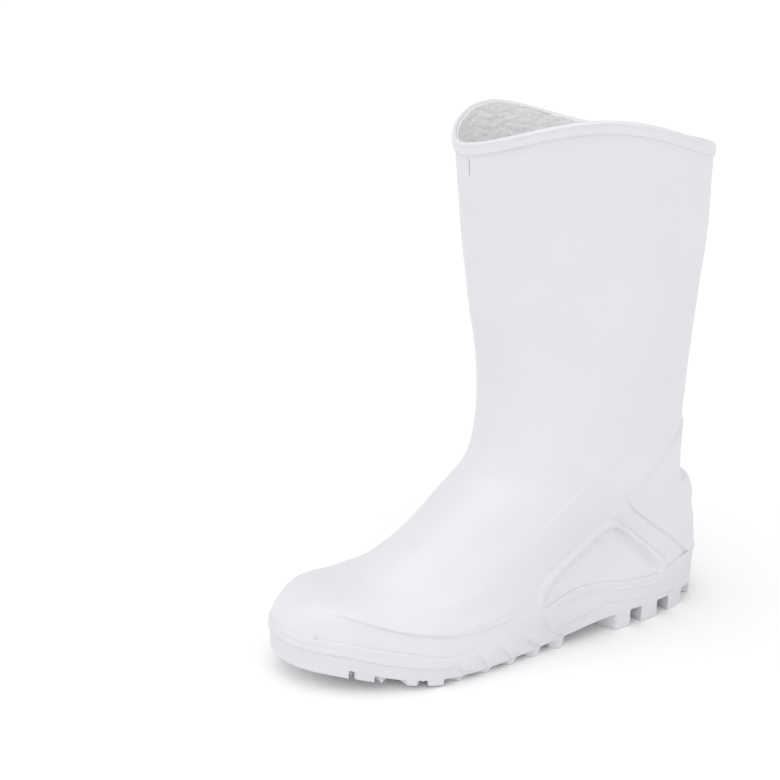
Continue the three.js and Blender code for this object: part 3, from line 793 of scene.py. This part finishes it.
def treadOutlines():
    ring = soleRing(soleLook["lugWall"], 900)
    outlines = []
    far = boot["ballWidth"]
    tread = toeTread
    toe = ring[::4][atY(ring[::4, 1]) > 0.66]
    angle = np.arctan2(toe[:, 1] - toe[:, 1].max() + 20, toe[:, 0] + 8)
    toe = toe[np.argsort(angle)]
    if areaOf(toe) < 0:
        toe = toe[::-1]

    def crossing(share, x):
        inner = yAt(tread["innerFirst"] + (tread["innerLast"] - tread["innerFirst"]) * share)
        outer = yAt(tread["outerFirst"] + (tread["outerLast"] - tread["outerFirst"]) * share)
        return inner + (outer - inner) * (x / far + 0.5)

    groove, count = tread["groove"], tread["count"]
    ahead = -200.0  # well past the toe, where the rim cuts it off
    rear = [(x, crossing(0, x) - groove) for x in (far, -far)]
    outlines.append([(-far, ahead), (far, ahead), *rear])
    drift = -tread["slant"]
    starts = np.arange(-3.6 * tread["padWidth"], far, tread["padWidth"])
    half = groove / 2.4
    for row in range(count - 1):
        for x in starts:
            cell = []
            for share, pull in ((row / (count - 1), 0.0), ((row + 1) / (count - 1), -groove)):
                for across in (x + half, x + tread["padWidth"] - half):
                    at = across
                    for _ in range(3):  # the long grooves lean, so the corner is found by steps
                        at = across + drift * (crossing(share, at) - crossing(0, across))
                    cell.append((at, crossing(share, at) + pull))
            outlines.append([cell[0], cell[1], cell[3], cell[2]])
    made = []
    for outline in outlines:
        outline = [np.array(p, float) for p in outline]
        if areaOf(outline) < 0:
            outline = outline[::-1]
        cut = clipped(outline, toe)
        if len(cut) < 3:
            continue
        girth = np.sum(np.linalg.norm(np.diff([*cut, cut[0]], axis=0), axis=1))
        if areaOf(cut) / girth > tread["thinnest"]:
            made.append(cut)
    for i in range(rimTread["count"]):
        high = rimTread["firstAt"] - i * rimTread["pitch"]
        low = high - rimTread["length"]
        rim = sideOfRing(ring, -1, low, high)
        made.append([*rim, rim[-1] + [rimTread["depth"], 0], rim[0] + [rimTread["depth"], 0]])
    for side in (-1, 1):
        for rimFrom, rimTo, innerFrom, innerTo, reach in heelTread:
            rim = sideOfRing(ring, side, rimFrom, rimTo)
            end = rim[-1][0] * (1 - reach)
            if rimFrom < 0:  # the rearmost pad starts where the rim is as far out as its inner end
                outside = [p for p in rim if abs(p[0]) > abs(end) + 0.3]
                made.append([*outside, np.array([end, yAt(innerTo)]), np.array([end, outside[0][1] - 0.2])])
            else:
                made.append([*rim, np.array([end, yAt(innerTo)]), np.array([end, yAt(innerFrom)])])
    return made


def buildTread():
    points, faces, first = [], [], 0
    turns = evenTurns(0, 1200)
    rim = np.column_stack([soleRing(soleLook["lugWall"], 1200), faceNormal(0, turns)[:, :2]])
    for outline in treadOutlines():
        made, shape = lugParts(outline, rim, first=first)
        points.append(made)
        faces += shape
        first += len(made)
    return makeMesh("sole_tread", np.concatenate(points), faces, sharpAngle=22)


# The six-sided lugs of the forefoot and the heel's middle, set out by Geometry Nodes
lugLook = {"rows": 4, "perRow": 5, "firstAt": 0.729, "shift": 0.0145, "pitch": 0.0625, "firstIn": 28.5,
           "rowPitch": 20.8, "width": 16.0, "length": 11.5, "middle": (0.115, 0.2, 0.285), "edge": 0.09}


def lugCentres():
    look = lugLook
    ring = soleRing(0.0, 900)
    places = []
    for row in range(look["rows"]):
        for i in range(look["perRow"]):
            at = look["firstAt"] - row * look["shift"] - i * look["pitch"]
            inner = sideOfRing(ring, -1, at, at + 0.01)[0][0]
            outer = sideOfRing(ring, 1, at, at + 0.01)[0][0]
            share = (look["firstIn"] + row * look["rowPitch"]) / boot["ballWidth"]
            places.append((inner + (outer - inner) * share, at))
    places += [(0.0, at) for at in look["middle"]]
    return places


# One lug of unit size, standing on the ground: rounded below, flared a little where it joins the sole
def unitLug():
    rings = []
    edge = lugLook["edge"]
    for z, size in ((0.0, 1 - edge), (0.05, 1 - 0.3 * edge), (0.16, 1.0), (1.0, 1.07), (1.35, 1.1)):
        for k in range(6):
            for turn in (-0.16, 0.16):
                angle = math.pi / 3 * (k + turn)
                reach = size * (1.0 if abs(turn) else 1.02)
                rings.append((reach * math.cos(angle), reach * math.sin(angle) / math.sin(math.pi / 3), z))
    columns = 12
    faces = [list(range(columns))[::-1], *ringFaces(5, columns), [4 * columns + k for k in range(columns)]]
    mesh = bpy.data.meshes.new("lug_form")
    mesh.from_pydata(rings, [], [list(map(int, f)) for f in faces])
    obj = bpy.data.objects.new("lug_form", mesh)
    bpy.context.scene.collection.objects.link(obj)
    return obj


def addSocket(tree, name, kind, value):
    socket = tree.interface.new_socket(name, in_out="INPUT", socket_type=kind)
    if value is not None:
        socket.default_value = value
    return socket


def buildLugs(material):
    look = lugLook
    places = lugCentres()
    at = np.array([place[1] for place in places])
    x = [place[0] for place in places]
    points = np.column_stack([x, yAt(at) + boot["shiftY"], soleGround(at)]) * 0.001
    mesh = bpy.data.meshes.new("forefoot_lugs")
    mesh.from_pydata(points.tolist(), [], [])
    reach = mesh.attributes.new("reach", "FLOAT", "POINT")
    reach.data.foreach_set("value", ((soleBase(at) - soleGround(at)) * 0.001).astype(np.float32))
    obj = bpy.data.objects.new("forefoot_lugs", mesh)
    bpy.context.scene.collection.objects.link(obj)
    form = unitLug()
    tree = bpy.data.node_groups.new("lug rows", "GeometryNodeTree")
    tree.interface.new_socket("Geometry", in_out="INPUT", socket_type="NodeSocketGeometry")
    tree.interface.new_socket("Geometry", in_out="OUTPUT", socket_type="NodeSocketGeometry")
    lugSocket = addSocket(tree, "Lug", "NodeSocketObject", None)
    widthSocket = addSocket(tree, "Lug width", "NodeSocketFloat", 0.016)
    lengthSocket = addSocket(tree, "Lug length", "NodeSocketFloat", 0.0115)
    finishSocket = addSocket(tree, "Finish", "NodeSocketMaterial", None)
    nodes, links = tree.nodes, tree.links
    start, end = nodes.new("NodeGroupInput"), nodes.new("NodeGroupOutput")
    info = nodes.new("GeometryNodeObjectInfo")
    named = nodes.new("GeometryNodeInputNamedAttribute")
    named.data_type = "FLOAT"
    named.inputs["Name"].default_value = "reach"
    halfWidth, halfLength = nodes.new("ShaderNodeMath"), nodes.new("ShaderNodeMath")
    for node in (halfWidth, halfLength):
        node.operation = "MULTIPLY"
        node.inputs[1].default_value = 0.5
    size = nodes.new("ShaderNodeCombineXYZ")
    place = nodes.new("GeometryNodeInstanceOnPoints")
    realize = nodes.new("GeometryNodeRealizeInstances")
    finish = nodes.new("GeometryNodeSetMaterial")
    links.new(start.outputs["Lug"], info.inputs["Object"])
    links.new(start.outputs["Lug width"], halfWidth.inputs[0])
    links.new(start.outputs["Lug length"], halfLength.inputs[0])
    links.new(halfWidth.outputs[0], size.inputs["X"])
    links.new(halfLength.outputs[0], size.inputs["Y"])
    links.new(named.outputs["Attribute"], size.inputs["Z"])
    links.new(start.outputs["Geometry"], place.inputs["Points"])
    links.new(info.outputs["Geometry"], place.inputs["Instance"])
    links.new(size.outputs["Vector"], place.inputs["Scale"])
    links.new(place.outputs["Instances"], realize.inputs["Geometry"])
    links.new(realize.outputs["Geometry"], finish.inputs["Geometry"])
    links.new(start.outputs["Finish"], finish.inputs["Material"])
    links.new(finish.outputs["Geometry"], end.inputs["Geometry"])
    modifier = obj.modifiers.new("lug rows", "NODES")
    modifier.node_group = tree
    modifier[lugSocket.identifier] = form
    modifier[widthSocket.identifier] = look["width"] * 0.001
    modifier[lengthSocket.identifier] = look["length"] * 0.001
    modifier[finishSocket.identifier] = material
    bpy.context.view_layer.update()
    made = bpy.data.meshes.new_from_object(obj.evaluated_get(bpy.context.evaluated_depsgraph_get()))
    obj.modifiers.clear()
    obj.data = made
    bpy.data.objects.remove(form)
    made.polygons.foreach_set("use_smooth", [True] * len(made.polygons))
    made.set_sharp_from_angle(angle=math.radians(28))
    return obj


# Small marks of the moulding, each a low mound on the face: at, height, half width, half height and rise
marksLook = {
    # The parting flash is a real low mound; the grey it takes below is painted shade, the shadow line along
    # it.
    "parting": (0.5955, 283.5, 0.5, 5.2, 0.12),
    "speck": (0.528, 301.0, 0.6, 0.6, 1.45),
    "nub": (0.957, 33.6, 0.8, 1.9, 1.0),
}


def buildMark(name):
    at, height, halfWidth, halfHeight, rise = marksLook[name]
    turns = np.linspace(0.02, math.pi, 1500)
    level = np.clip((height - boot["heelSeat"]) / 20, 0, 7) if height < 100 else 12.0
    for _ in range(12):  # the level and turn that lie at this place
        turn = turns[np.argmin(np.abs(facePoint(level, turns)[:, 1] - yAt(at)))]
        above, below = facePoint(min(level + 0.05, collarLevel), turn), facePoint(level - 0.05, turn)
        climb = (above[2] - below[2]) / 0.1
        level = min(max(level + (height - facePoint(level, turn)[2]) / climb, 0.06), 12.9)
    centre, normal = facePoint(level, turn), faceNormal(level, turn)
    side = np.cross(normal, [0, 0, 1])
    side /= np.linalg.norm(side)
    upward = np.cross(side, normal)
    columns, points, faces = 16, [centre + normal * rise], []
    for ring, out in ((0.5, 0.86), (0.85, 0.45), (1.0, 0.0), (1.0, -0.6)):
        for k in range(columns):
            angle = 2 * math.pi * k / columns
            across = side * math.cos(angle) * halfWidth * ring
            raised = upward * math.sin(angle) * halfHeight * ring
            points.append(centre + across + raised + normal * (rise * out))
    for k in range(columns):
        faces.append((0, 1 + (k + 1) % columns, 1 + k))
    for a, b, c, d in ringFaces(4, columns):
        faces.append((a + 1, b + 1, c + 1, d + 1))
    faces.append([1 + 3 * columns + k for k in range(columns)])
    obj = makeMesh(f"mould_{name}", points, faces)
    shell = bmesh.new()
    shell.from_mesh(obj.data)
    bmesh.ops.recalc_face_normals(shell, faces=shell.faces)
    shell.to_mesh(obj.data)
    shell.free()
    return obj


# Materials
def newMaterial(name):
    material = bpy.data.materials.new(name)
    material.use_nodes = True
    nodes, links = material.node_tree.nodes, material.node_tree.links
    nodes.clear()
    output = nodes.new("ShaderNodeOutputMaterial")
    shader = nodes.new("ShaderNodeBsdfPrincipled")
    links.new(shader.outputs["BSDF"], output.inputs["Surface"])
    where = nodes.new("ShaderNodeTexCoord")
    return material, nodes, links, shader, where.outputs["Object"]


def noiseNode(nodes, links, where, scale, detail=4.0, roughness=0.5):
    noise = nodes.new("ShaderNodeTexNoise")
    noise.inputs["Scale"].default_value = scale
    noise.inputs["Detail"].default_value = detail
    noise.inputs["Roughness"].default_value = roughness
    links.new(where, noise.inputs["Vector"])
    return noise.outputs["Fac"]


def rampNode(nodes, links, source, stops):
    ramp = nodes.new("ShaderNodeValToRGB")
    while len(ramp.color_ramp.elements) < len(stops):
        ramp.color_ramp.elements.new(0.5)
    for element, (place, colour) in zip(ramp.color_ramp.elements, stops):
        element.position = place
        element.color = (*colour, 1)
    links.new(source, ramp.inputs["Fac"])
    return ramp.outputs["Color"]


def rangeNode(nodes, links, source, low, high):
    node = nodes.new("ShaderNodeMapRange")
    node.inputs["From Min"].default_value = 0.3
    node.inputs["From Max"].default_value = 0.7
    node.inputs["To Min"].default_value = low
    node.inputs["To Max"].default_value = high
    links.new(source, node.inputs["Value"])
    return node.outputs["Result"]


def bumpNode(nodes, links, height, distance, strength, below=None):
    bump = nodes.new("ShaderNodeBump")
    bump.inputs["Strength"].default_value = strength
    bump.inputs["Distance"].default_value = distance
    links.new(height, bump.inputs["Height"])
    if below is not None:
        links.new(below, bump.inputs["Normal"])
    return bump.outputs["Normal"]


pvcLook = {
    "upper": {
        "light": (0.705, 0.698, 0.728), "dark": (0.685, 0.677, 0.708),
        "smooth": 0.43, "rough": 0.5, "coat": 0.06,
    },
    # The marks' grey: on the parting mark it is painted shade, the shadow line along the flash.
    "mark": {
        "light": (0.42, 0.42, 0.43), "dark": (0.33, 0.33, 0.34),
        "smooth": 0.5, "rough": 0.6, "coat": 0.0,
    },
    "sole": {
        "light": (0.69, 0.683, 0.71), "dark": (0.66, 0.653, 0.68),
        "smooth": 0.42, "rough": 0.52, "coat": 0.03,
    },
}


def pvcMaterial(name, look):
    material, nodes, links, shader, where = newMaterial(name)
    cloud = noiseNode(nodes, links, where, 16, 3, 0.55)
    colour = rampNode(nodes, links, cloud, [(0.32, look["dark"]), (0.62, look["light"])])
    links.new(colour, shader.inputs["Base Color"])
    smear = noiseNode(nodes, links, where, 60, 5, 0.6)
    links.new(rangeNode(nodes, links, smear, look["smooth"], look["rough"]), shader.inputs["Roughness"])
    grain = bumpNode(nodes, links, noiseNode(nodes, links, where, 1400, 2), 0.00005, 0.25)
    flow = bumpNode(nodes, links, noiseNode(nodes, links, where, 130, 3, 0.55), 0.00012, 0.3, grain)
    links.new(flow, shader.inputs["Normal"])
    shader.inputs["IOR"].default_value = 1.5
    shader.inputs["Coat Weight"].default_value = look["coat"]
    shader.inputs["Coat Roughness"].default_value = 0.25
    shader.inputs["Subsurface Weight"].default_value = 0.12
    shader.inputs["Subsurface Radius"].default_value = (1.0, 0.95, 0.9)
    shader.inputs["Subsurface Scale"].default_value = 0.0015
    return material


# light and dark: the lining's tone on the ripple's crests and in its troughs, painted shade on the wrinkles
textileLook = {"light": (0.83, 0.83, 0.84), "dark": (0.75, 0.75, 0.76), "rough": 0.95, "sheen": 0.2}


def textileMaterial(name):
    look = textileLook
    material, nodes, links, shader, where = newMaterial(name)
    along = nodes.new("ShaderNodeMapping")
    along.inputs["Scale"].default_value = (0.4, 0.4, 1.0)
    links.new(where, along.inputs["Vector"])
    ripple = noiseNode(nodes, links, along.outputs["Vector"], 420, 3, 0.55)
    # The colour follows the ripple's bump, lighter on its crests and darker in its troughs: painted shade
    # on the wrinkles.
    colour = rampNode(nodes, links, ripple, [(0.35, look["dark"]), (0.65, look["light"])])
    links.new(colour, shader.inputs["Base Color"])
    knit = nodes.new("ShaderNodeTexVoronoi")
    knit.inputs["Scale"].default_value = 900
    links.new(where, knit.inputs["Vector"])
    loops = bumpNode(nodes, links, knit.outputs["Distance"], 0.0003, 0.6)
    links.new(bumpNode(nodes, links, ripple, 0.0006, 0.7, loops), shader.inputs["Normal"])
    shader.inputs["Roughness"].default_value = look["rough"]
    shader.inputs["Sheen Weight"].default_value = look["sheen"]
    return material


def setMaterial(obj, material):
    obj.data.materials.clear()
    obj.data.materials.append(material)


whiteUpper = pvcMaterial("white PVC, upper", pvcLook["upper"])
whiteSole = pvcMaterial("white PVC, sole", pvcLook["sole"])
textile = textileMaterial("grey lining textile")
greyShadeAndSpeck = pvcMaterial("grey painted parting shadow and speck", pvcLook["mark"])
print("materials made")

upper = buildUpper()
setMaterial(upper, whiteUpper)
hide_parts("upper")
lining = buildLining()
setMaterial(lining, textile)
insole = buildInsole()
setMaterial(insole, textile)
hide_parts("insole")
soleBody = buildSoleBody()
setMaterial(soleBody, whiteSole)
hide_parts("outsole")
tread = buildTread()
setMaterial(tread, whiteSole)
lugs = buildLugs(whiteSole)
marks = [buildMark(name) for name in marksLook]
# The parting mark and the speck take the grey, which on the parting mark is painted shade; the nub takes
# the sole's white.
for piece, material in zip(marks, (greyShadeAndSpeck, greyShadeAndSpeck, whiteSole)):
    setMaterial(piece, material)
for piece in (upper, lining, insole, soleBody, tread, lugs, *marks):
    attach(piece, "root")
    mesh = piece.data
    mesh.calc_loop_triangles()
    print(piece.name, len(mesh.loop_triangles), "triangles")

# The studio
studio = {
    "floor": (0.93, 0.93, 0.93),
    "sky": (1.05, 0.74),  # its strength at the horizon and from half way up
    "lens": 62.42,
    "azimuth": 57.42,
    "distance": 0.7415,
    "height": 0.3937,
    "yaw": 4.616,
    "pitch": 17.973,
    "roll": 0.054,
    "aheadY": -0.0061,
}


def addCamera():
    data = bpy.data.cameras.new("camera")
    data.lens, data.sensor_width = studio["lens"], 36
    camera = bpy.data.objects.new("camera", data)
    bpy.context.scene.collection.objects.link(camera)
    azimuth = math.radians(studio["azimuth"])
    eye = Vector((studio["distance"] * math.sin(azimuth),
                  -studio["distance"] * math.cos(azimuth) + studio["aheadY"], studio["height"]))
    yaw, pitch, roll = (math.radians(studio[turn]) for turn in ("yaw", "pitch", "roll"))
    heading, level = azimuth + yaw, math.cos(pitch)
    forward = Vector((-math.sin(heading) * level, math.cos(heading) * level, -math.sin(pitch)))
    right = Vector((math.cos(heading), math.sin(heading), 0))
    up = right.cross(forward)
    right, up = math.cos(roll) * right + math.sin(roll) * up, -math.sin(roll) * right + math.cos(roll) * up
    rows = [(right[i], up[i], -forward[i], eye[i]) for i in range(3)]
    camera.matrix_world = Matrix((*rows, (0, 0, 0, 1)))
    bpy.context.scene.camera = camera


def addFloor():
    reach = 60
    mesh = bpy.data.meshes.new("floor")
    corners = [(-reach, -reach, 0), (reach, -reach, 0), (reach, reach, 0), (-reach, reach, 0)]
    mesh.from_pydata(corners, [], [(0, 1, 2, 3)])
    floor = bpy.data.objects.new("floor", mesh)
    bpy.context.scene.collection.objects.link(floor)
    material, _, _, shader, _ = newMaterial("pale floor")
    shader.inputs["Base Color"].default_value = (*studio["floor"], 1)
    shader.inputs["Roughness"].default_value = 1.0
    shader.inputs["Specular IOR Level"].default_value = 0.0
    floor.data.materials.append(material)


# A broad, even light from one direction, so that the floor stays as pale far away
def addSun(name, place, angle, strength):
    data = bpy.data.lights.new(name, "SUN")
    data.energy, data.angle = strength, math.radians(angle)
    light = bpy.data.objects.new(name, data)
    bpy.context.scene.collection.objects.link(light)
    light.rotation_euler = (-Vector(place)).to_track_quat("-Z", "Y").to_euler()


def addLight(name, place, target, width, height, power):
    data = bpy.data.lights.new(name, "AREA")
    data.shape, data.size, data.size_y, data.energy = "RECTANGLE", width, height, power
    light = bpy.data.objects.new(name, data)
    bpy.context.scene.collection.objects.link(light)
    light.location = place
    light.rotation_euler = (Vector(target) - Vector(place)).to_track_quat("-Z", "Y").to_euler()


world = bpy.data.worlds.new("studio")
world.use_nodes = True
world.node_tree.nodes["Background"].inputs["Color"].default_value = (1, 1, 1, 1)
skyNodes, skyLinks = world.node_tree.nodes, world.node_tree.links
skyPlace, skyParts, skyRange = (skyNodes.new(kind) for kind in (
    "ShaderNodeTexCoord", "ShaderNodeSeparateXYZ", "ShaderNodeMapRange"))
skyRange.inputs["From Max"].default_value = 0.5
skyRange.inputs["To Min"].default_value, skyRange.inputs["To Max"].default_value = studio["sky"]
skyLinks.new(skyPlace.outputs["Generated"], skyParts.inputs["Vector"])
skyLinks.new(skyParts.outputs["Z"], skyRange.inputs["Value"])
skyLinks.new(skyRange.outputs["Result"], skyNodes["Background"].inputs["Strength"])
bpy.context.scene.world = world
bpy.context.scene.view_settings.view_transform = "Standard"
addSun("key", (0.25, -0.6, 1.3), 80, 1.25)
addLight("panel", (1.9, 0.3, 0.9), (0, 0, 0.15), 0.5, 1.6, 3.0)
addFloor()
addCamera()
print("studio set")
